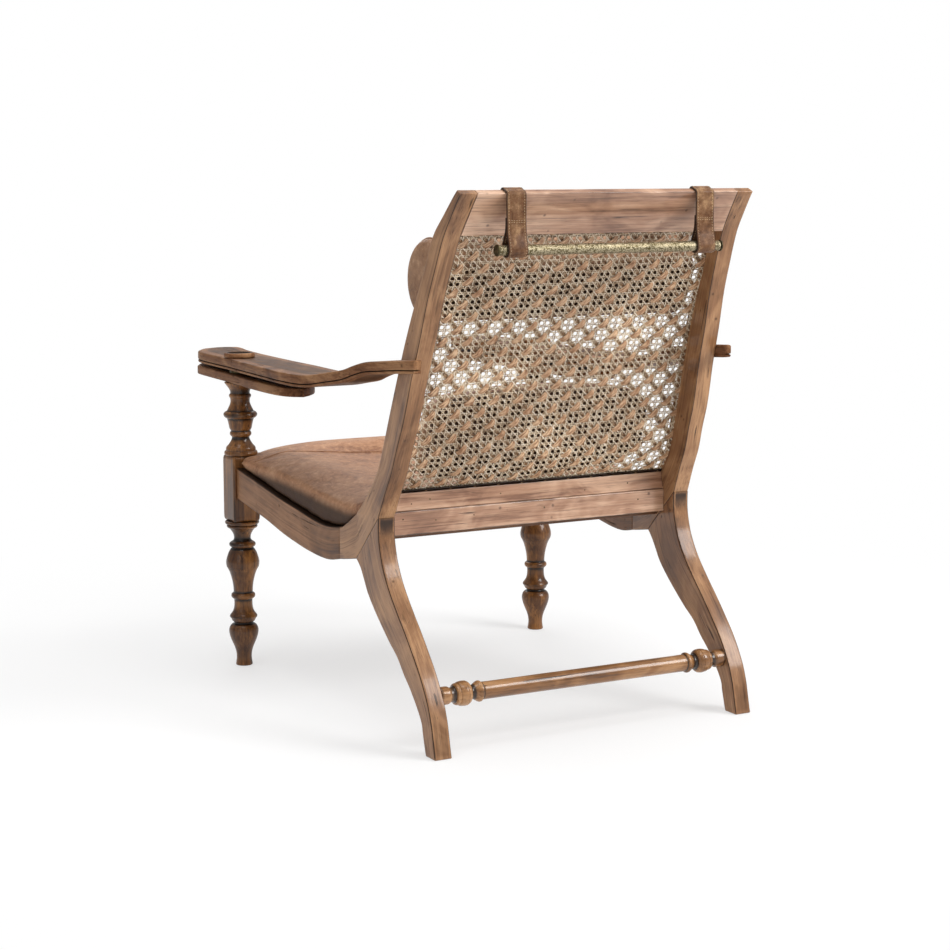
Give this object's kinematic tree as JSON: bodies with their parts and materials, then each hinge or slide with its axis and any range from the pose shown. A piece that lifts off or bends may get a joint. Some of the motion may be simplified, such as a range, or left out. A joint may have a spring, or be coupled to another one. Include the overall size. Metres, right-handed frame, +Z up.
{
  "type": "planters chair",
  "caption": "Reclined wooden planters chair with a woven cane back, leather cushions, a strapped head pillow on a rod counterweight, and leg rests that swing out from under its long arms.",
  "frame": {"origin": "on the floor, under the middle of the chair's overall length and width", "axes": "+Z up, -Y towards the front of the seat, +X towards the sitter's left"},
  "size_m": [0.772, 1.0728, 0.9601],
  "materials": {
    "frame_wood": "satin",
    "hidden_wood": "matte",
    "cane": "satin",
    "cushion_leather": "satin",
    "strap_leather": "satin",
    "brass": "satin",
    "dark_bronze": "satin"
  },
  "bodies": {
    "frame": {"front_leg_left": "frame_wood", "front_leg_right": "frame_wood", "rear_leg_left": "frame_wood", "rear_leg_right": "frame_wood", "back_stile_left": "frame_wood", "back_stile_right": "frame_wood", "side_rail_left": "frame_wood", "side_rail_right": "frame_wood", "front_seat_rail": "frame_wood", "rear_seat_rail": "frame_wood", "lower_back_rail": "frame_wood", "top_rail": "frame_wood", "rear_stretcher": "frame_wood", "arm_left": "frame_wood", "arm_right": "frame_wood", "cane_spline_left": "hidden_wood", "cane_spline_right": "hidden_wood", "cane_spline_top": "hidden_wood", "cane_spline_bottom": "hidden_wood", "seat_deck": "hidden_wood", "seat_cleat_left": "hidden_wood", "seat_cleat_right": "hidden_wood", "cane_panel": "cane", "pivot_washer_left": "brass", "pivot_washer_right": "brass", "pivot_cap_left": "frame_wood", "pivot_cap_right": "frame_wood", "seat_cushion": "cushion_leather", "back_cushion": "cushion_leather", "strap_left": "strap_leather", "strap_right": "strap_leather"},
    "leg_rest_left_board": {"leg_rest_left": "frame_wood"},
    "leg_rest_right_board": {"leg_rest_right": "frame_wood"},
    "pillow": {"head_pillow": "cushion_leather"},
    "counterweight": {"counterweight_rod": "brass", "rod_cap_left": "dark_bronze", "rod_cap_right": "dark_bronze"}
  },
  "joints": [
    {"name": "leg_rest_left_swing", "type": "hinge", "parent": "frame", "child": "leg_rest_left_board", "pos_m": [0.3399, -0.30023, 0.58], "axis": [0, 0, -1], "range_deg": [0, 180]},
    {"name": "leg_rest_right_swing", "type": "hinge", "parent": "frame", "child": "leg_rest_right_board", "pos_m": [-0.3399, -0.30023, 0.58], "axis": [0, 0, 1], "range_deg": [0, 180]},
    {"name": "pillow_slide", "type": "slide", "parent": "frame", "child": "pillow", "axis": [0, -0.4087, -0.9127], "range_m": [-0.06, 0.04]},
    {"name": "counterweight_slide", "type": "slide", "parent": "frame", "child": "counterweight", "axis": [0, 0, 1], "range_m": [-0.06, 0.04], "deforming": ["strap_left", "strap_right"]}
  ],
  "couplings": [
    {"joint": "counterweight_slide", "follows": "pillow_slide", "ratio": 1}
  ]
}
